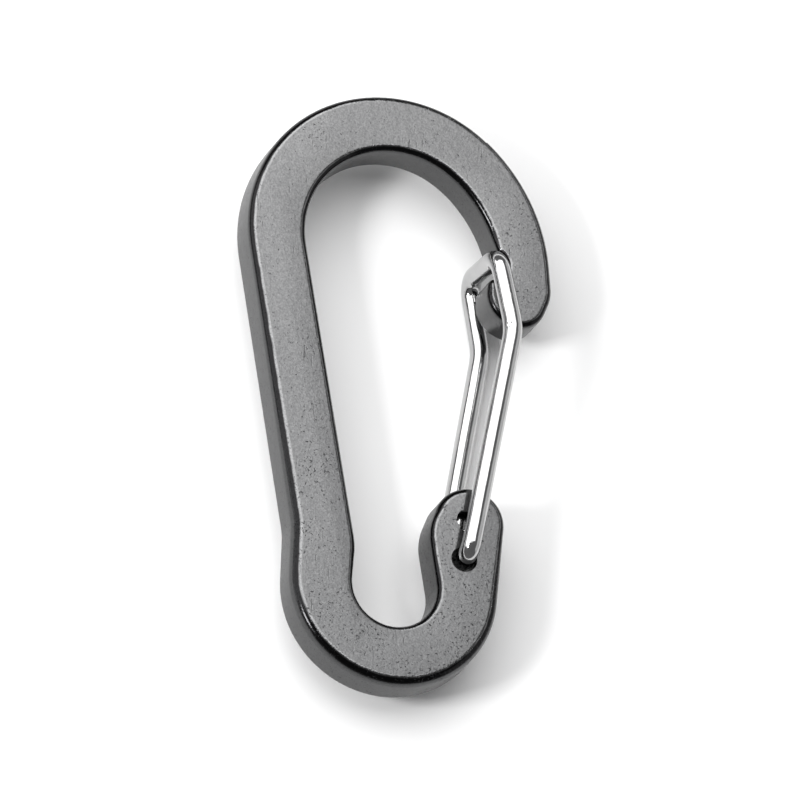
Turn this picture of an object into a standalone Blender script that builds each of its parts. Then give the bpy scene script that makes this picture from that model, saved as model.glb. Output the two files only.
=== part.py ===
"""Gourd-shaped keyring carabiner: a flat cast hook body and a sprung wire gate.

Lengths are in metres (MM converts), +Z up.  The keyring lies flat: X across its
width, Y along its length, Z through its thickness.  The outline of the hook body
is a string pulled tight round a row of discs: each disc gives one arc, and the
straight parts are the common tangents between neighbouring discs.
"""
import math

import bmesh
import bpy
from mathutils import Matrix, Vector

MM = 0.001

# ---- hook body ---------------------------------------------------------------
BODY_THICKNESS = 3.8 * MM
EDGE_STEPS = 4
ARC_STEP = math.radians(9.0)     # longest arc segment on a small disc
ARC_CHORD = 0.95 * MM            # longest arc segment on a large disc

# name, centre x, centre y, radius, turn (+1 convex, -1 hollow) and the rounding
# of the face edge there; all mm
DISCS = (
    ("nose_right", 9.01, 8.81, 3.18, 1, 0.62),
    ("nose_shoulder", -2.56, 10.12, 14.71, 1, 0.60),
    ("crown", -0.47, 12.28, 11.65, 1, 0.60),
    ("waist", -15.78, -11.46, 5.92, -1, 0.85),
    ("foot", -1.85, -15.91, 8.37, 1, 0.85),
    ("ear_top", 4.49, -10.70, 2.78, 1, 0.60),
    ("ear_bulge", 5.71, -12.18, 4.49, 1, 0.45),
    ("basket", -1.84, -16.06, 3.41, -1, 0.50),
    ("spine_bulge", -10.92, -12.86, 6.06, 1, 0.60),
    ("crown_inside", -0.27, 12.15, 7.25, -1, 0.60),
    ("shoulder_inside", -3.03, 9.50, 11.10, -1, 0.60),
    ("notch_lip", 8.47, 11.92, 0.55, 1, 0.45),
    ("notch", 7.50, 10.50, 1.15, -1, 0.45),
    ("hook_tip", 7.60, 8.80, 0.55, 1, 0.45),
    ("hook_bulge", 9.55, 8.10, 2.60, 1, 0.55),
    ("nose_low", 9.50, 7.72, 2.26, 1, 0.60),
)

# ---- wire gate ---------------------------------------------------------------
WIRE_DIAMETER = 1.50 * MM
WIRE_SIDES = 20
BEND_STEP = math.radians(12.0)
FRONT_PIN = (3.90, -13.65)       # front end of the wire, on the hinge axis, mm
BACK_PIN = (4.05, -10.45)        # back end of the wire, mm
LEG_AT_EAR = 2.90                # leg centreline above the body's mid-plane, mm
LEG_AT_NOSE = 3.25
LEG_AT_TOP = 3.30
FRONT_KINK = (8.40, 4.82)
BACK_KINK = (7.74, 4.95)
CROSSBAR_FRONT = (7.45, 10.70)
CROSSBAR_BACK = (7.10, 10.88)
PIN_BEND = 1.10                  # centreline bend radii, mm
KINK_BEND = 5.0
TOP_BEND = 1.45
PIN_END = 0.90                   # pin tip beyond the mid-plane, mm
PIN_CHAMFER = 0.14               # mm
OPEN_ANGLE = 20.0                # inward swing of the gate, degrees

# ---- holes and channels in the ear -------------------------------------------
LOW_HOLE = (3.78, -13.80)        # mm
LOW_HOLE_RADIUS = 1.05
WINDOW = (4.16, -10.56)          # round opening over the back pin, front face
WINDOW_RADIUS = 0.80
SLOT_HALF_WIDTH = 0.95           # arc slot the back pin swings in, from the back
SLOT_TOP = 1.10                  # above the mid-plane, mm
CHANNEL_WIDTH = 1.80
CHANNEL_DEPTH = 0.40
CHANNEL_RUN = 8.0                # past the ear's top, mm
HOLE_SIDES = 40


def unit(angle):
    return Vector((math.cos(angle), math.sin(angle)))


def tangent_heading(a, b):
    """Heading of the tangent line leaving disc a and arriving at disc b."""
    offset = b[4] * b[3] - a[4] * a[3]
    span = Vector((b[1] - a[1], b[2] - a[2]))
    run = math.sqrt(max(span.length_squared - offset * offset, 1e-6))
    return math.atan2(span.y, span.x) - math.atan2(offset, run)


def outline_points(discs):
    """(point, inward normal, edge rounding) round the string, material on the left."""
    count = len(discs)
    headings = [tangent_heading(discs[i], discs[(i + 1) % count]) for i in range(count)]
    points = []
    for i, (_, cx, cy, radius, turn, edge) in enumerate(discs):
        start, end = headings[i - 1], headings[i]
        sweep = ((end - start) * turn + math.pi / 2) % (2 * math.pi) - math.pi / 2
        step = min(ARC_STEP, ARC_CHORD / MM / radius)
        step = max(step, math.radians(3.2))
        steps = max(1, math.ceil(sweep / step - 1e-6))
        for k in range(steps + 1):
            heading = start + turn * sweep * k / steps
            normal = Vector((-math.sin(heading), math.cos(heading)))
            point = Vector((cx, cy)) - turn * radius * normal
            if points and (point - points[-1][0]).length < 0.02:
                continue
            points.append((point, normal, edge))
    if (points[0][0] - points[-1][0]).length < 0.02:
        points.pop()
    return points


OUTLINE = outline_points(DISCS)
X_MID = (max(p.x for p, _, _ in OUTLINE) + min(p.x for p, _, _ in OUTLINE)) / 2
Y_MID = (max(p.y for p, _, _ in OUTLINE) + min(p.y for p, _, _ in OUTLINE)) / 2
Z_MID = LEG_AT_TOP + WIRE_DIAMETER / MM / 2     # the back leg touches z = 0


def place(x, y, z=0.0):
    """A point given in mm about the body's mid-plane, in the part's frame."""
    return Vector(((x - X_MID) * MM, (y - Y_MID) * MM, (z + Z_MID) * MM))


def new_object(name, mesh, origin=None):
    obj = bpy.data.objects.new(name, mesh)
    bpy.context.scene.collection.objects.link(obj)
    if origin is not None:
        mesh.transform(Matrix.Translation(-origin))
        obj.location = origin
    return obj


def smooth(obj, degrees):
    for other in bpy.context.selected_objects:
        other.select_set(False)
    obj.select_set(True)
    bpy.context.view_layer.objects.active = obj
    obj.data.shade_smooth()
    obj.data.set_sharp_from_angle(angle=math.radians(degrees))


def ring_loft(name, rings, origin=None):
    """Closed body from rings of equal length, capped at both ends."""
    bm = bmesh.new()
    rows = [[bm.verts.new(co) for co in ring] for ring in rings]
    for low, high in zip(rows, rows[1:]):
        for i in range(len(low)):
            j = (i + 1) % len(low)
            bm.faces.new((low[i], low[j], high[j], high[i]))
    bm.faces.new(list(reversed(rows[0])))
    bm.faces.new(rows[-1])
    bmesh.ops.recalc_face_normals(bm, faces=bm.faces)
    mesh = bpy.data.meshes.new(name)
    bm.to_mesh(mesh)
    bm.free()
    return new_object(name, mesh, origin)


def prism(name, outline, z_low, z_high):
    rings = [[place(x, y, z) for x, y in outline] for z in (z_low, z_high)]
    obj = ring_loft(name, rings)
    obj.hide_render = True
    obj.display_type = "WIRE"
    return obj


def circle(centre, radius, sides=HOLE_SIDES):
    return [(centre[0] + radius * math.cos(2 * math.pi * k / sides),
             centre[1] + radius * math.sin(2 * math.pi * k / sides)) for k in range(sides)]


def turned(point, centre, degrees):
    angle = math.radians(degrees)
    dx, dy = point[0] - centre[0], point[1] - centre[1]
    return (centre[0] + dx * math.cos(angle) - dy * math.sin(angle),
            centre[1] + dx * math.sin(angle) + dy * math.cos(angle))


def arc_slot(centre, start, degrees, half_width):
    """Outline swept by a round pin that swings about centre."""
    reach = math.dist(centre, start)
    base = math.degrees(math.atan2(start[1] - centre[1], start[0] - centre[0]))
    end = turned(start, centre, degrees)
    outline = []
    for k in range(9):
        outline.append(turned((centre[0] + reach + half_width, centre[1]), centre,
                              base + degrees * k / 8))
    for k in range(1, 16):
        spot = unit(math.radians(base + degrees + 180 * k / 16)) * half_width
        outline.append((end[0] + spot.x, end[1] + spot.y))
    for k in range(9):
        outline.append(turned((centre[0] + reach - half_width, centre[1]), centre,
                              base + degrees * (8 - k) / 8))
    for k in range(1, 16):
        spot = unit(math.radians(base + 180 + 180 * k / 16)) * half_width
        outline.append((start[0] + spot.x, start[1] + spot.y))
    return outline


def channel(start, towards, width, run):
    """Round-ended groove from start along the leg, out through the ear's top."""
    along = Vector((towards[0] - start[0], towards[1] - start[1])).normalized()
    side = Vector((-along.y, along.x))
    base = math.atan2(side.y, side.x)
    outline = []
    for k in range(13):
        spot = unit(base + math.pi * k / 12) * (width / 2)
        outline.append((start[0] + spot.x, start[1] + spot.y))
    for sign in (-1, 1):
        outline.append((start[0] + along.x * run + sign * side.x * width / 2,
                        start[1] + along.y * run + sign * side.y * width / 2))
    return outline


def build_body():
    half = BODY_THICKNESS / MM / 2
    turns = [math.pi / 2 * k / EDGE_STEPS for k in range(EDGE_STEPS + 1)]
    rings = []
    for side in (-1, 1):
        for angle in turns[::-side]:
            inward, drop = 1 - math.sin(angle), 1 - math.cos(angle)
            rings.append([place(p.x + n.x * edge * inward, p.y + n.y * edge * inward,
                                side * (half - edge * drop)) for p, n, edge in OUTLINE])
    body = ring_loft("hook_body", rings)
    half_out = half + 0.6
    floor = half - CHANNEL_DEPTH
    cutters = [
        prism("cut_low_hole", circle(LOW_HOLE, LOW_HOLE_RADIUS), -half_out, half_out),
        prism("cut_pin_slot", arc_slot(FRONT_PIN, BACK_PIN, OPEN_ANGLE, SLOT_HALF_WIDTH),
              -half_out, SLOT_TOP),
        prism("cut_window", circle(WINDOW, WINDOW_RADIUS), SLOT_TOP - 0.3, half_out),
        prism("cut_front_channel",
              channel(FRONT_PIN, FRONT_KINK, CHANNEL_WIDTH, CHANNEL_RUN), floor, half_out),
        prism("cut_back_channel",
              channel(BACK_PIN, BACK_KINK, CHANNEL_WIDTH, CHANNEL_RUN), -half_out, -floor),
    ]
    for cutter in cutters:
        modifier = body.modifiers.new(cutter.name, "BOOLEAN")
        modifier.operation = "DIFFERENCE"
        modifier.solver = "EXACT"
        modifier.object = cutter
    smooth(body, 30)
    return body


def filleted(corners):
    """Centreline through the corners, each (x, y, z, bend radius) rounded."""
    points = [Vector(corners[0][:3])]
    for before, here, after in zip(corners, corners[1:], corners[2:]):
        corner = Vector(here[:3])
        back = (Vector(before[:3]) - corner).normalized()
        ahead = (Vector(after[:3]) - corner).normalized()
        bend = math.pi - back.angle(ahead)
        radius = here[3]
        trim = radius * math.tan(bend / 2)
        centre = corner + (back + ahead).normalized() * (radius / math.cos(bend / 2))
        spoke = corner + back * trim - centre
        axis = back.cross(ahead).normalized() * -1
        steps = max(2, math.ceil(bend / BEND_STEP))
        for k in range(steps + 1):
            points.append(centre + Matrix.Rotation(bend * k / steps, 3, axis) @ spoke)
    points.append(Vector(corners[-1][:3]))
    return points


def build_gate():
    corners = [
        (*FRONT_PIN, -PIN_END, 0),
        (*FRONT_PIN, LEG_AT_EAR, PIN_BEND),
        (*FRONT_KINK, LEG_AT_NOSE, KINK_BEND),
        (*CROSSBAR_FRONT, LEG_AT_TOP, TOP_BEND),
        (*CROSSBAR_BACK, -LEG_AT_TOP, TOP_BEND),
        (*BACK_KINK, -LEG_AT_NOSE, KINK_BEND),
        (*BACK_PIN, -LEG_AT_EAR, PIN_BEND),
        (*BACK_PIN, PIN_END, 0),
    ]
    line = filleted(corners)
    radius = WIRE_DIAMETER / MM / 2
    # chamfered ends
    head = (line[1] - line[0]).normalized() * PIN_CHAMFER
    tail = (line[-2] - line[-1]).normalized() * PIN_CHAMFER
    line = [line[0], line[0] + head] + line[1:-1] + [line[-1] + tail, line[-1]]
    radii = [radius - PIN_CHAMFER] + [radius] * (len(line) - 2) + [radius - PIN_CHAMFER]
    headings = []
    for i in range(len(line)):
        here = Vector((0, 0, 0))
        if i > 0:
            here += (line[i] - line[i - 1]).normalized()
        if i < len(line) - 1:
            here += (line[i + 1] - line[i]).normalized()
        headings.append(here.normalized())
    across = Vector((1, 0, 0))
    rings = []
    for i, (point, heading) in enumerate(zip(line, headings)):
        if i:
            across = headings[i - 1].rotation_difference(heading) @ across
        across = (across - heading * across.dot(heading)).normalized()
        other = heading.cross(across)
        ring = []
        for k in range(WIRE_SIDES):
            angle = 2 * math.pi * k / WIRE_SIDES
            spot = point + (across * math.cos(angle) + other * math.sin(angle)) * radii[i]
            ring.append(place(spot.x, spot.y, spot.z))
        rings.append(ring)
    gate = ring_loft("wire_gate", rings, origin=place(*FRONT_PIN, 0.0))
    smooth(gate, 35)
    return gate


def material(name, color, metallic, roughness):
    mat = bpy.data.materials.new(name)
    mat.use_nodes = True
    shader = mat.node_tree.nodes["Principled BSDF"]
    shader.inputs["Base Color"].default_value = (*color, 1.0)
    shader.inputs["Metallic"].default_value = metallic
    shader.inputs["Roughness"].default_value = roughness
    return mat


def main():
    for obj in list(bpy.data.objects):
        bpy.data.objects.remove(obj, do_unlink=True)
    body = build_body()
    body.data.materials.append(material("body_metal", (0.30, 0.30, 0.31), 1.0, 0.45))
    gate = build_gate()
    gate.data.materials.append(material("gate_steel", (0.72, 0.72, 0.73), 1.0, 0.18))


main()
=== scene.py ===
"""Visual model of the keyring carabiner: cast hook body and polished wire gate."""
import math

import bmesh
import bpy
from mathutils import Matrix, Vector


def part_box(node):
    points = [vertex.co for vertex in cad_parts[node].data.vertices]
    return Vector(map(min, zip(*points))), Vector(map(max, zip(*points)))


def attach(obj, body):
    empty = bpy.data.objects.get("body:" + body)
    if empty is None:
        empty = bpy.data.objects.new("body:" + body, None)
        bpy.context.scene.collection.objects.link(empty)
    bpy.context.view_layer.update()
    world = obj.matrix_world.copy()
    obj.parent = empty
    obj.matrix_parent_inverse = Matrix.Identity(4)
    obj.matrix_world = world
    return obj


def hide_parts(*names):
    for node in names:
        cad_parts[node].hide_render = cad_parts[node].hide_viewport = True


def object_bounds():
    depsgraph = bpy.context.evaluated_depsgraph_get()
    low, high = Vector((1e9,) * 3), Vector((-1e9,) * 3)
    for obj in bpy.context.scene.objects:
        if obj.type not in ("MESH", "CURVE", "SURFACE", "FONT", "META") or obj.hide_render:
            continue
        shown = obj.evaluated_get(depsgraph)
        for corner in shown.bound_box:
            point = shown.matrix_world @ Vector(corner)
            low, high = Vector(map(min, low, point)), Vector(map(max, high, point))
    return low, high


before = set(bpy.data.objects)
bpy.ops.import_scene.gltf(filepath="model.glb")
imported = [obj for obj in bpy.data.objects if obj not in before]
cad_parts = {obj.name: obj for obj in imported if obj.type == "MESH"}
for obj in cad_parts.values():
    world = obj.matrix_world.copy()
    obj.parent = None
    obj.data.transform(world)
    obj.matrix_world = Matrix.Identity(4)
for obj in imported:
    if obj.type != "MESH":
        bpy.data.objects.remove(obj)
cad_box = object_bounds()

MM = 0.001

# ---------------------------------------------------------------- dimensions (mm)
THICKNESS = 3.8
EDGE_STEPS = 9
DISCS = (
    ("nose_right", 9.01, 8.81, 3.18, 1, 0.62),
    ("nose_shoulder", -2.56, 10.12, 14.71, 1, 0.60),
    ("crown", -0.47, 12.28, 11.65, 1, 0.60),
    ("waist", -15.78, -11.46, 5.92, -1, 0.85),
    ("foot", -1.85, -15.91, 8.37, 1, 0.85),
    ("ear_top", 4.49, -10.70, 2.78, 1, 0.60),
    ("ear_bulge", 5.71, -12.18, 4.49, 1, 0.45),
    ("basket", -1.84, -16.06, 3.41, -1, 0.50),
    ("spine_bulge", -10.92, -12.86, 6.06, 1, 0.60),
    ("crown_inside", -0.27, 12.15, 7.25, -1, 0.60),
    ("shoulder_inside", -3.03, 9.50, 11.10, -1, 0.60),
    ("notch_lip", 8.47, 11.92, 0.55, 1, 0.45),
    ("notch", 7.50, 10.50, 1.15, -1, 0.45),
    ("hook_tip", 7.60, 8.80, 0.55, 1, 0.45),
    ("hook_bulge", 9.55, 8.10, 2.60, 1, 0.55),
    ("nose_low", 9.50, 7.72, 2.26, 1, 0.60),
)
WIRE = 1.50
FRONT_PIN = (3.90, -13.65)
BACK_PIN = (4.05, -10.45)
LEG_AT_EAR = 2.90
LEG_AT_NOSE = 3.25
LEG_AT_TOP = 3.30
FRONT_KINK = (8.40, 4.82)
BACK_KINK = (7.74, 4.95)
CROSSBAR_FRONT = (7.45, 10.70)
CROSSBAR_BACK = (7.10, 10.88)
PIN_BEND = 1.10
KINK_BEND = 5.0
TOP_BEND = 1.45
PIN_END = 0.90
PIN_CHAMFER = 0.14
OPEN_ANGLE = 20.0
LOW_HOLE = (3.78, -13.80)
LOW_HOLE_RADIUS = 1.05
WINDOW = (4.16, -10.56)
WINDOW_RADIUS = 0.80
SLOT_HALF_WIDTH = 0.95
SLOT_TOP = 1.10
CHANNEL_WIDTH = 1.80
CHANNEL_DEPTH = 0.40
CHANNEL_RUN = 8.0

body_lo, body_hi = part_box("hook_body")
Z_MID = (body_lo[2] + body_hi[2]) / 2 / MM


# ---------------------------------------------------------------- outline
def tangent_heading(a, b):
    offset = b[4] * b[3] - a[4] * a[3]
    span = Vector((b[1] - a[1], b[2] - a[2]))
    run = math.sqrt(max(span.length_squared - offset * offset, 1e-6))
    return math.atan2(span.y, span.x) - math.atan2(offset, run)


def outline_points(discs, step_deg, chord, straight):
    """(point, inward normal, edge rounding), straights cut into short runs."""
    count = len(discs)
    headings = [tangent_heading(discs[i], discs[(i + 1) % count]) for i in range(count)]
    points = []

    def add(point, normal, edge):
        if points and (point - points[-1][0]).length < 0.02:
            return
        points.append((point, normal, edge))

    for i, (_, cx, cy, radius, turn, edge) in enumerate(discs):
        start, end = headings[i - 1], headings[i]
        sweep = ((end - start) * turn + math.pi / 2) % (2 * math.pi) - math.pi / 2
        step = min(math.radians(step_deg), chord / radius)
        steps = max(1, math.ceil(sweep / step - 1e-6))
        for k in range(steps + 1):
            heading = start + turn * sweep * k / steps
            normal = Vector((-math.sin(heading), math.cos(heading)))
            point = Vector((cx, cy)) - turn * radius * normal
            if k == 0 and points:
                last, last_n, last_e = points[-1]
                gap = (point - last).length
                runs = int(gap / straight)
                for r in range(1, runs):
                    add(last.lerp(point, r / runs), last_n.lerp(normal, r / runs).normalized(),
                        last_e + (edge - last_e) * r / runs)
            add(point, normal, edge)
    if (points[0][0] - points[-1][0]).length < 0.02:
        points.pop()
    return points


OUTLINE = outline_points(DISCS, 4.0, 0.30, 0.60)
X_MID = body_mid_x = (max(p.x for p, _, _ in OUTLINE) + min(p.x for p, _, _ in OUTLINE)) / 2
Y_MID = (max(p.y for p, _, _ in OUTLINE) + min(p.y for p, _, _ in OUTLINE)) / 2
SHIFT = Vector(((body_lo[0] + body_hi[0]) / 2 / MM - X_MID,
                (body_lo[1] + body_hi[1]) / 2 / MM - Y_MID, Z_MID))


def place(x, y, z=0.0):
    return Vector(((x + SHIFT.x) * MM, (y + SHIFT.y) * MM, (z + SHIFT.z) * MM))


# ---------------------------------------------------------------- mesh helpers
def link(name, mesh):
    obj = bpy.data.objects.new(name, mesh)
    bpy.context.scene.collection.objects.link(obj)
    return obj


def ring_loft(name, rings, uv=False):
    bm = bmesh.new()
    rows = [[bm.verts.new(co) for co in ring] for ring in rings]
    count = len(rows[0])
    layer = bm.loops.layers.uv.new("around_along") if uv else None
    run = 0.0
    for low, high in zip(rows, rows[1:]):
        step = (sum((v.co for v in high), Vector()) - sum((v.co for v in low), Vector())).length / count
        for i in range(count):
            j = (i + 1) % count
            face = bm.faces.new((low[i], low[j], high[j], high[i]))
            face.smooth = True
            if layer:
                corners = ((i, run), (i + 1, run), (i + 1, run + step), (i, run + step))
                for loop, (a, b) in zip(face.loops, corners):
                    loop[layer].uv = (a / count, b * 1000.0)
        run += step
    caps = [bm.faces.new(list(reversed(rows[0]))), bm.faces.new(rows[-1])]
    bmesh.ops.recalc_face_normals(bm, faces=bm.faces)
    mesh = bpy.data.meshes.new(name)
    bm.to_mesh(mesh)
    bm.free()
    return link(name, mesh)


def prism(name, outline, z_low, z_high):
    obj = ring_loft(name, [[place(x, y, z) for x, y in outline] for z in (z_low, z_high)])
    return obj


def circle(centre, radius, sides=72):
    return [(centre[0] + radius * math.cos(2 * math.pi * k / sides),
             centre[1] + radius * math.sin(2 * math.pi * k / sides)) for k in range(sides)]


def turned(point, centre, degrees):
    angle = math.radians(degrees)
    dx, dy = point[0] - centre[0], point[1] - centre[1]
    return (centre[0] + dx * math.cos(angle) - dy * math.sin(angle),
            centre[1] + dx * math.sin(angle) + dy * math.cos(angle))


def arc_slot(centre, start, degrees, half_width):
    reach = math.dist(centre, start)
    base = math.degrees(math.atan2(start[1] - centre[1], start[0] - centre[0]))
    end = turned(start, centre, degrees)
    outline = []
    for k in range(13):
        outline.append(turned((centre[0] + reach + half_width, centre[1]), centre,
                              base + degrees * k / 12))
    for k in range(1, 24):
        a = math.radians(base + degrees + 180 * k / 24)
        outline.append((end[0] + half_width * math.cos(a), end[1] + half_width * math.sin(a)))
    for k in range(13):
        outline.append(turned((centre[0] + reach - half_width, centre[1]), centre,
                              base + degrees * (12 - k) / 12))
    for k in range(1, 24):
        a = math.radians(base + 180 + 180 * k / 24)
        outline.append((start[0] + half_width * math.cos(a), start[1] + half_width * math.sin(a)))
    return outline


def channel(start, towards, width, run):
    along = Vector((towards[0] - start[0], towards[1] - start[1])).normalized()
    side = Vector((-along.y, along.x))
    base = math.atan2(side.y, side.x)
    outline = []
    for k in range(25):
        a = base + math.pi * k / 24
        outline.append((start[0] + math.cos(a) * width / 2, start[1] + math.sin(a) * width / 2))
    for sign in (-1, 1):
        outline.append((start[0] + along.x * run + sign * side.x * width / 2,
                        start[1] + along.y * run + sign * side.y * width / 2))
    return outline


def apply_modifiers(obj):
    dg = bpy.context.evaluated_depsgraph_get()
    mesh = bpy.data.meshes.new_from_object(obj.evaluated_get(dg), depsgraph=dg)
    obj.modifiers.clear()
    old = obj.data
    obj.data = mesh
    bpy.data.meshes.remove(old)


# ---------------------------------------------------------------- hook body
def build_body():
    half = THICKNESS / 2
    turns = [math.pi / 2 * k / EDGE_STEPS for k in range(EDGE_STEPS + 1)]
    rings = []
    for side in (-1, 1):
        for angle in turns[::-side]:
            inward, drop = 1 - math.sin(angle), 1 - math.cos(angle)
            rings.append([place(p.x + n.x * edge * inward, p.y + n.y * edge * inward,
                                side * (half - edge * drop)) for p, n, edge in OUTLINE])
    body = ring_loft("body_casting", rings)
    out = half + 0.6
    floor = half - CHANNEL_DEPTH
    cutters = [
        prism("cut_a", circle(LOW_HOLE, LOW_HOLE_RADIUS), -out, out),
        prism("cut_b", arc_slot(FRONT_PIN, BACK_PIN, OPEN_ANGLE, SLOT_HALF_WIDTH), -out, SLOT_TOP),
        prism("cut_c", circle(WINDOW, WINDOW_RADIUS), SLOT_TOP - 0.3, out),
        prism("cut_d", channel(FRONT_PIN, FRONT_KINK, CHANNEL_WIDTH, CHANNEL_RUN), floor, out),
        prism("cut_e", channel(BACK_PIN, BACK_KINK, CHANNEL_WIDTH, CHANNEL_RUN), -out, -floor),
    ]
    for cutter in cutters:
        m = body.modifiers.new(cutter.name, "BOOLEAN")
        m.operation, m.solver, m.object = "DIFFERENCE", "EXACT", cutter
    apply_modifiers(body)
    for cutter in cutters:
        mesh = cutter.data
        bpy.data.objects.remove(cutter, do_unlink=True)
        bpy.data.meshes.remove(mesh)
    body.data.shade_smooth()
    body.data.set_sharp_from_angle(angle=math.radians(30))
    return body


# ---------------------------------------------------------------- wire gate
def filleted(corners, bend_step):
    points = [Vector(corners[0][:3])]
    for before, here, after in zip(corners, corners[1:], corners[2:]):
        corner = Vector(here[:3])
        back = (Vector(before[:3]) - corner).normalized()
        ahead = (Vector(after[:3]) - corner).normalized()
        bend = math.pi - back.angle(ahead)
        radius = here[3]
        trim = radius * math.tan(bend / 2)
        centre = corner + (back + ahead).normalized() * (radius / math.cos(bend / 2))
        spoke = corner + back * trim - centre
        axis = back.cross(ahead).normalized() * -1
        steps = max(3, math.ceil(bend / bend_step))
        for k in range(steps + 1):
            points.append(centre + Matrix.Rotation(bend * k / steps, 3, axis) @ spoke)
    points.append(Vector(corners[-1][:3]))
    return points


def refine(line, longest):
    out = [line[0]]
    for a, b in zip(line, line[1:]):
        runs = max(1, math.ceil((b - a).length / longest))
        for r in range(1, runs + 1):
            out.append(a.lerp(b, r / runs))
    return out


def dent(point, out):
    """Depth of the small crimp that the bending tool left inside the front kink."""
    away = (point - Vector((FRONT_KINK[0] - 0.02, FRONT_KINK[1] + 0.05, LEG_AT_NOSE))).length
    turn = out.angle(Vector((-0.62, 0.0, 0.78)))
    return 0.075 * math.exp(-(away / 0.22) ** 2 - (turn / 0.55) ** 2)


def build_gate():
    corners = [
        (*FRONT_PIN, -PIN_END, 0),
        (*FRONT_PIN, LEG_AT_EAR, PIN_BEND),
        (*FRONT_KINK, LEG_AT_NOSE, KINK_BEND),
        (*CROSSBAR_FRONT, LEG_AT_TOP, TOP_BEND),
        (*CROSSBAR_BACK, -LEG_AT_TOP, TOP_BEND),
        (*BACK_KINK, -LEG_AT_NOSE, KINK_BEND),
        (*BACK_PIN, -LEG_AT_EAR, PIN_BEND),
        (*BACK_PIN, PIN_END, 0),
    ]
    line = refine(filleted(corners, math.radians(5.0)), 0.6)
    kink = Vector((*FRONT_KINK, LEG_AT_NOSE))
    finer = [line[0]]
    for a, b in zip(line, line[1:]):
        runs = max(1, math.ceil((b - a).length / 0.10)) if (a - kink).length < 1.0 else 1
        finer += [a.lerp(b, r / runs) for r in range(1, runs + 1)]
    line = finer
    radius = WIRE / 2
    head = (line[1] - line[0]).normalized()
    tail = (line[-2] - line[-1]).normalized()
    ends = [(0.0, PIN_CHAMFER), (PIN_CHAMFER * 0.5, PIN_CHAMFER * 0.42),
            (PIN_CHAMFER, PIN_CHAMFER * 0.06), (PIN_CHAMFER * 1.3, 0.0)]
    front = [(line[0] + head * d, radius - cut) for d, cut in ends]
    rear = [(line[-1] + tail * d, radius - cut) for d, cut in reversed(ends)]
    path = front + [(p, radius) for p in line[1:-1]] + rear
    points = [p for p, _ in path]
    headings = []
    for i in range(len(points)):
        here = Vector()
        if i > 0:
            here += (points[i] - points[i - 1]).normalized()
        if i < len(points) - 1:
            here += (points[i + 1] - points[i]).normalized()
        headings.append(here.normalized())
    across = Vector((1, 0, 0))
    rings = []
    sides = 48
    for i, ((point, r), heading) in enumerate(zip(path, headings)):
        if i:
            across = headings[i - 1].rotation_difference(heading) @ across
        across = (across - heading * across.dot(heading)).normalized()
        other = heading.cross(across)
        ring = []
        for k in range(sides):
            a = 2 * math.pi * k / sides
            out = across * math.cos(a) + other * math.sin(a)
            spot = point + out * (r - dent(point, out))
            ring.append(place(spot.x, spot.y, spot.z))
        rings.append(ring)
    gate = ring_loft("gate_wire", rings, uv=True)
    gate.data.set_sharp_from_angle(angle=math.radians(50))
    return gate


# ---------------------------------------------------------------- materials
class Nodes:
    def __init__(self, name):
        self.mat = bpy.data.materials.new(name)
        self.mat.use_nodes = True
        self.tree = self.mat.node_tree
        self.shader = self.tree.nodes["Principled BSDF"]
        self.out = self.tree.nodes["Material Output"]

    def add(self, kind, **values):
        node = self.tree.nodes.new(kind)
        for key, value in values.items():
            setattr(node, key, value)
        return node

    def wire(self, a, b):
        self.tree.links.new(a, b)

    def noise(self, vector, scale, detail=2.0, rough=0.5, distortion=0.0):
        node = self.add("ShaderNodeTexNoise")
        node.inputs["Scale"].default_value = scale
        node.inputs["Detail"].default_value = detail
        node.inputs["Roughness"].default_value = rough
        node.inputs["Distortion"].default_value = distortion
        self.wire(vector, node.inputs["Vector"])
        return node.outputs["Fac"]

    def math(self, op, a, b=None, c=None, clamp=False):
        node = self.add("ShaderNodeMath", operation=op, use_clamp=clamp)
        for i, value in enumerate((a, b, c)):
            if value is None:
                continue
            if isinstance(value, (int, float)):
                node.inputs[i].default_value = value
            else:
                self.wire(value, node.inputs[i])
        return node.outputs[0]

    def remap(self, value, a, b, c, d, kind="LINEAR"):
        node = self.add("ShaderNodeMapRange", interpolation_type=kind)
        node.clamp = True
        self.wire(value, node.inputs["Value"])
        for key, v in zip(("From Min", "From Max", "To Min", "To Max"), (a, b, c, d)):
            node.inputs[key].default_value = v
        return node.outputs["Result"]

    def mapping(self, vector, scale=(1, 1, 1), rotation=(0, 0, 0)):
        node = self.add("ShaderNodeMapping")
        node.inputs["Scale"].default_value = scale
        node.inputs["Rotation"].default_value = rotation
        self.wire(vector, node.inputs["Vector"])
        return node.outputs["Vector"]

    def ramp(self, value, stops):
        node = self.add("ShaderNodeValToRGB")
        els = node.color_ramp.elements
        while len(els) > 1:
            els.remove(els[-1])
        els[0].position, els[0].color = stops[0][0], (*stops[0][1], 1)
        for pos, color in stops[1:]:
            e = els.new(pos)
            e.color = (*color, 1)
        self.wire(value, node.inputs["Fac"])
        return node.outputs["Color"]

    def bump(self, height, strength, distance, normal=None):
        node = self.add("ShaderNodeBump")
        node.inputs["Strength"].default_value = strength
        node.inputs["Distance"].default_value = distance
        self.wire(height, node.inputs["Height"])
        if normal is not None:
            self.wire(normal, node.inputs["Normal"])
        return node.outputs["Normal"]


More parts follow.
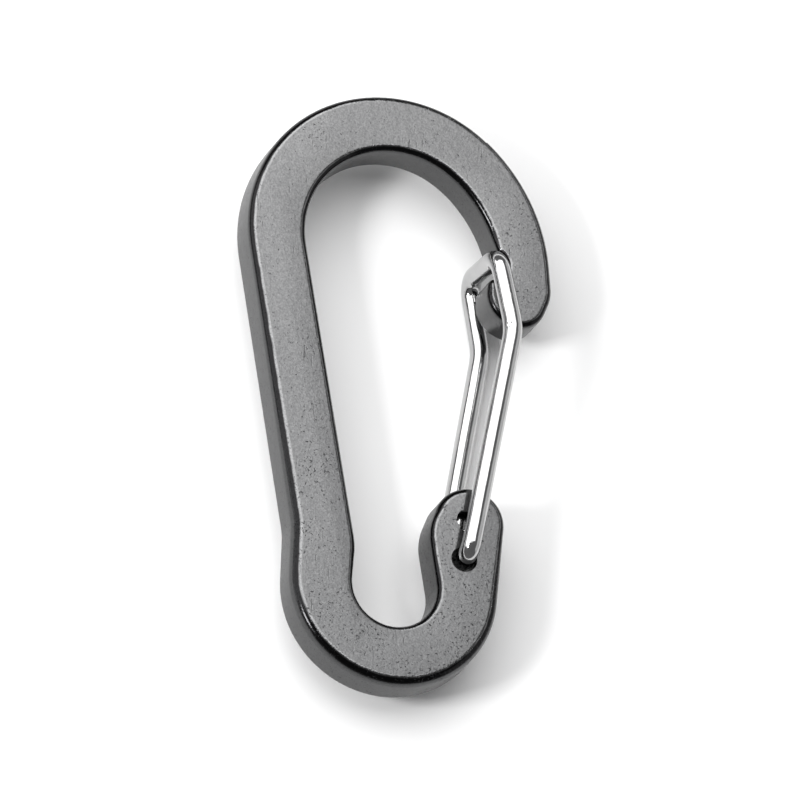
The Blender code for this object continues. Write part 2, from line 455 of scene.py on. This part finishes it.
def body_material():
    n = Nodes("gunmetal_casting")
    coords = n.add("ShaderNodeTexCoord").outputs["Object"]
    split = n.add("ShaderNodeSeparateXYZ")
    n.wire(coords, split.inputs[0])
    # height above the mid-plane: faces at the top of it, then roundings, then walls
    lift = n.math("ABSOLUTE", n.math("SUBTRACT", split.outputs["Z"], Z_MID * MM))
    wander = n.math("MULTIPLY", n.math("SUBTRACT", n.noise(coords, 700, 3.0, 0.6), 0.5), 0.07 * MM)
    ragged = n.math("ADD", lift, wander)
    half = THICKNESS / 2
    face = n.remap(ragged, (half - 0.075) * MM, (half - 0.022) * MM, 0, 1, "SMOOTHSTEP")
    flat = n.remap(lift, (half - 0.016) * MM, (half - 0.003) * MM, 0, 1, "SMOOTHSTEP")
    side = n.remap(ragged, (half - 0.23) * MM, (half - 0.41) * MM, 0, 1, "SMOOTHSTEP")
    # blasted grain, casting pits, broad tone
    grain = n.noise(coords, 6500, 2.0, 0.6)
    mottle = n.noise(coords, 1700, 3.0, 0.6)
    broad = n.noise(coords, 130, 2.0, 0.5)
    pits = n.noise(coords, 5000, 2.0, 0.7)
    patch = n.noise(coords, 260, 2.0, 0.5)
    # the casting is rougher towards the ear
    skew = n.math("SUBTRACT", n.math("MULTIPLY", split.outputs["X"], 6.0), n.math("MULTIPLY", split.outputs["Y"], 4.0))
    patch = n.math("ADD", patch, skew)
    pit_and_shade = n.math("SUBTRACT", pits, n.remap(patch, 0.35, 0.65, 0.685, 0.600))
    pit_and_shade = n.remap(pit_and_shade, 0.0, 0.05, 0.0, 1.0, "SMOOTHSTEP")
    # a few short fine scratches, running two ways
    marks = []
    for turn, seed in ((0.6, 0.11), (-1.0, 0.37)):
        streak = n.noise(n.mapping(coords, (1.0, 0.07, 1.0), (0, 0, turn)), 4300 * (1 + seed), 1.0, 0.4)
        patchy = n.noise(n.mapping(coords, (1.0, 1.0, 1.0), (0.3, seed, turn)), 330, 1.0, 0.5)
        marks.append(n.math("MULTIPLY", n.remap(streak, 0.70, 0.75, 0, 1), n.remap(patchy, 0.54, 0.62, 0, 1)))
    scratch = n.math("MULTIPLY", n.math("MAXIMUM", *marks), face)
    # base colour
    tone = n.math("MULTIPLY", n.math("SUBTRACT", grain, 0.5), 0.85)
    tone = n.math("ADD", tone, n.math("MULTIPLY", n.math("SUBTRACT", mottle, 0.5), 0.22))
    tone = n.math("ADD", tone, n.math("MULTIPLY", n.math("SUBTRACT", broad, 0.5), 0.18))
    # painted light and shade: the tone grows lighter towards the top (+Y) of the part and darker towards the bottom
    tone = n.math("ADD", tone, n.math("MULTIPLY", split.outputs["Y"], 4.0))
    tone = n.math("SUBTRACT", tone, n.math("MULTIPLY", scratch, 0.30))
    tone = n.math("ADD", tone, 0.5)
    faces = n.ramp(tone, [(0.10, (0.118, 0.119, 0.121)), (0.5, (0.200, 0.201, 0.203)), (0.90, (0.300, 0.300, 0.300))])
    # painted shade and painted reflection: the walls and the roundings get darker copies of the face colour; the
    # walls' darkness stands in for their shade, the roundings' for the dark reflections along the edges
    walls_shade = n.ramp(tone, [(0.15, (0.066, 0.067, 0.068)), (0.85, (0.112, 0.112, 0.113))])
    rounds_dark_reflection = n.ramp(tone, [(0.15, (0.010, 0.010, 0.0105)), (0.85, (0.022, 0.022, 0.0225))])

    def blend(factor, a, b):
        mix = n.add("ShaderNodeMix", data_type="RGBA", blend_type="MIX")
        n.wire(factor, mix.inputs[0])
        for socket, value in ((mix.inputs[6], a), (mix.inputs[7], b)):
            if isinstance(value, tuple):
                socket.default_value = value
            else:
                n.wire(value, socket)
        return mix.outputs[2]

    # painted shade: the darker wall and rounding colours are laid on here
    base = blend(side, rounds_dark_reflection, walls_shade)
    base = blend(face, base, faces)
    # painted shade: the pits are darkened in the base colour, on top of their own bump and roughness
    base = blend(n.math("MULTIPLY", pit_and_shade, n.remap(face, 0, 1, 0.20, 0.66)), base, (0.020, 0.020, 0.021, 1))
    n.wire(base, n.shader.inputs["Base Color"])
    # roughness: blasted faces, smooth rounded edges, satin walls
    rough = n.math("ADD", n.remap(flat, 0, 1, 0.15, 0.46), n.math("MULTIPLY", side, 0.22))
    rough = n.math("ADD", rough, n.math("MULTIPLY", n.math("SUBTRACT", mottle, 0.5), 0.16))
    rough = n.math("ADD", rough, n.math("MULTIPLY", pit_and_shade, 0.2), clamp=True)
    n.wire(rough, n.shader.inputs["Roughness"])
    n.shader.inputs["Metallic"].default_value = 1.0
    # relief
    height = n.math("MULTIPLY", grain, n.remap(face, 0, 1, 0.12, 0.60))
    height = n.math("ADD", height, n.math("MULTIPLY", mottle, n.remap(face, 0, 1, 0.30, 0.70)))
    height = n.math("SUBTRACT", height, n.math("MULTIPLY", pit_and_shade, 1.2))
    height = n.math("SUBTRACT", height, n.math("MULTIPLY", scratch, 0.7))
    n.wire(n.bump(height, 0.85, 0.000035), n.shader.inputs["Normal"])
    return n.mat


def gate_material():
    n = Nodes("drawn_steel")
    coords = n.add("ShaderNodeTexCoord")
    uv = coords.outputs["UV"]
    obj = coords.outputs["Object"]
    # fine drawing lines along the wire, breaking up over a few millimetres
    lines = n.noise(n.mapping(uv, (60, 0.22, 1)), 1.0, 3.0, 0.6)
    faint = n.noise(n.mapping(uv, (22, 0.5, 1)), 1.0, 2.0, 0.5)
    speck = n.noise(obj, 2600, 2.0, 0.5)
    haze = n.noise(obj, 380, 2.0, 0.5)
    base = n.ramp(haze, [(0.25, (0.42, 0.42, 0.425)), (0.75, (0.51, 0.51, 0.505))])
    n.wire(base, n.shader.inputs["Base Color"])
    rough = n.math("ADD", n.remap(lines, 0.3, 0.7, 0.07, 0.15),
                   n.math("MULTIPLY", n.remap(speck, 0.60, 0.72, 0, 1), 0.14))
    n.wire(rough, n.shader.inputs["Roughness"])
    n.shader.inputs["Metallic"].default_value = 1.0
    height = n.math("ADD", n.math("MULTIPLY", lines, 0.7), n.math("MULTIPLY", faint, 0.6))
    height = n.math("SUBTRACT", height, n.math("MULTIPLY", n.remap(speck, 0.62, 0.74, 0, 1), 0.6))
    n.wire(n.bump(height, 0.22, 0.00002), n.shader.inputs["Normal"])
    return n.mat


def floor_material():
    n = Nodes("pale_floor")
    coords = n.add("ShaderNodeTexCoord").outputs["Object"]
    soft = n.noise(coords, 30, 3.0, 0.5)
    base = n.ramp(soft, [(0.3, (0.90, 0.90, 0.90)), (0.7, (0.92, 0.92, 0.92))])
    n.wire(base, n.shader.inputs["Base Color"])
    n.shader.inputs["Roughness"].default_value = 0.9
    n.shader.inputs["Specular IOR Level"].default_value = 0.1
    return n.mat


# ---------------------------------------------------------------- assemble
def fit_inside(objects, box):
    """Draw the finer arcs in by a few microns, so that no part leaves the box."""
    lo = [min(v.co[k] for o in objects for v in o.data.vertices) for k in range(3)]
    hi = [max(v.co[k] for o in objects for v in o.data.vertices) for k in range(3)]
    for k in range(3):
        mid = (box[0][k] + box[1][k]) / 2
        room = (box[1][k] - box[0][k]) / 2 - 1e-6
        ratio = min(1.0, room / max(hi[k] - mid, mid - lo[k]))
        for o in objects:
            for v in o.data.vertices:
                v.co[k] = mid + (v.co[k] - mid) * ratio


body = build_body()
gate = build_gate()
fit_inside((body, gate), cad_box)
body.data.materials.clear()
body.data.materials.append(body_material())
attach(body, "hook")
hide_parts("hook_body")

gate.data.materials.clear()
gate.data.materials.append(gate_material())
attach(gate, "gate")
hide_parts("wire_gate")

# ---------------------------------------------------------------- stage
bm = bmesh.new()
bmesh.ops.create_circle(bm, cap_ends=True, segments=96, radius=1.6)
mesh = bpy.data.meshes.new("floor")
bm.to_mesh(mesh)
bm.free()
floor = link("floor", mesh)
floor.location.z = -0.00002
floor.data.materials.append(floor_material())

world = bpy.data.worlds.new("studio")
bpy.context.scene.world = world
world.use_nodes = True
world.node_tree.nodes["Background"].inputs["Color"].default_value = (0.19, 0.19, 0.192, 1)
world.node_tree.nodes["Background"].inputs["Strength"].default_value = 1.0


def panel(name, location, aim, size, radiance):
    """A rectangular softbox; its width lies level, across the way it faces."""
    light = bpy.data.lights.new(name, "AREA")
    light.shape = "RECTANGLE"
    light.size, light.size_y = size
    light.energy = radiance * 4.0 * size[0] * size[1]
    obj = bpy.data.objects.new(name, light)
    obj.location = location
    obj.rotation_mode = "QUATERNION"
    obj.rotation_quaternion = Vector(aim).to_track_quat("-Z", "Y")
    bpy.context.scene.collection.objects.link(obj)
    return obj


# one broad panel overhead, left of centre, carried down by a second on the left;
# a grey one far right; a small bright one low on the left for the edge glints
panel("overhead", (-0.465, 0.90, 1.0), (0, 0, -1), (1.77, 1.84), 2.10)
panel("left", (-1.36, 0.75, 0.62), (1, 0, 0), (1.6, 0.72), 2.10)
panel("right", (1.25, 0.2, 0.50), (-1, 0, 0), (2.5, 0.90), 0.50)
panel("glint", (-0.92, -0.20, 0.74), (0.92, 0.20, -0.74), (0.26, 0.24), 36.0)

# ---------------------------------------------------------------- camera
# The view's lean from the front face's normal, and the way it leans.
LEAN = math.radians(26.4)
WAY = math.radians(48.0)
SCALE = 13.0                      # image pixels per millimetre
LENS = 1000.0
u0, u1 = math.cos(WAY), math.sin(WAY)
c, s = math.cos(LEAN), math.sin(LEAN)
right = Vector((u0 * u0 * c + u1 * u1, u0 * u1 * (c - 1), s * u0))
up = Vector((u0 * u1 * (c - 1), u1 * u1 * c + u0 * u0, s * u1))
back = right.cross(up)
anchor = place(-1.1, -0.7, THICKNESS / 2) + (right * 5 - up * 5) * (MM / SCALE)
distance = 800 / SCALE * MM * LENS / 36.0
cam_data = bpy.data.cameras.new("camera")
cam_data.lens = LENS
cam_data.sensor_width = 36.0
cam_data.clip_start, cam_data.clip_end = 0.01, 10.0
cam = bpy.data.objects.new("camera", cam_data)
cam.rotation_mode = "QUATERNION"
cam.rotation_quaternion = Matrix((right, up, back)).transposed().to_quaternion()
cam.location = anchor + back * distance
bpy.context.scene.collection.objects.link(cam)
bpy.context.scene.camera = cam
bpy.context.scene.view_settings.view_transform = "Standard"
